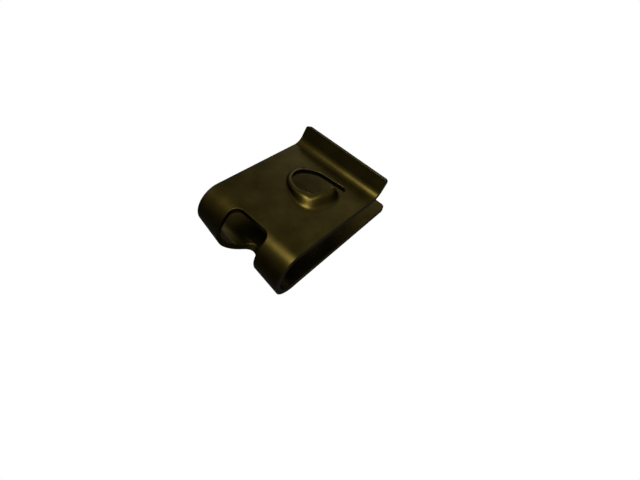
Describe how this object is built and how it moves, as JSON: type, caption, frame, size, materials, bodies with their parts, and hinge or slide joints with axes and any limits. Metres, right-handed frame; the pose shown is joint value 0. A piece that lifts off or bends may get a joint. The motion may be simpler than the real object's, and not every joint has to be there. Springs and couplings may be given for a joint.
{
  "type": "u clip speed nut",
  "caption": "Folded spring-steel clip nut: a U-shaped strip with a helical thread impression in the upper leaf, a clearance hole below and a turned-up lead-in lip.",
  "frame": {"origin": "centre of the screw clearance hole, in the plane of the clip's underside", "axes": "+X from the fold to the mouth, +Y across the strip, +Z from the lower leaf up to the threaded leaf"},
  "size_m": [0.025, 0.016, 0.0088],
  "materials": {
    "dark_spring_steel": "satin dark olive conversion coating on spring steel"
  },
  "bodies": {
    "root": {"speed_nut": "dark_spring_steel"}
  },
  "joints": []
}
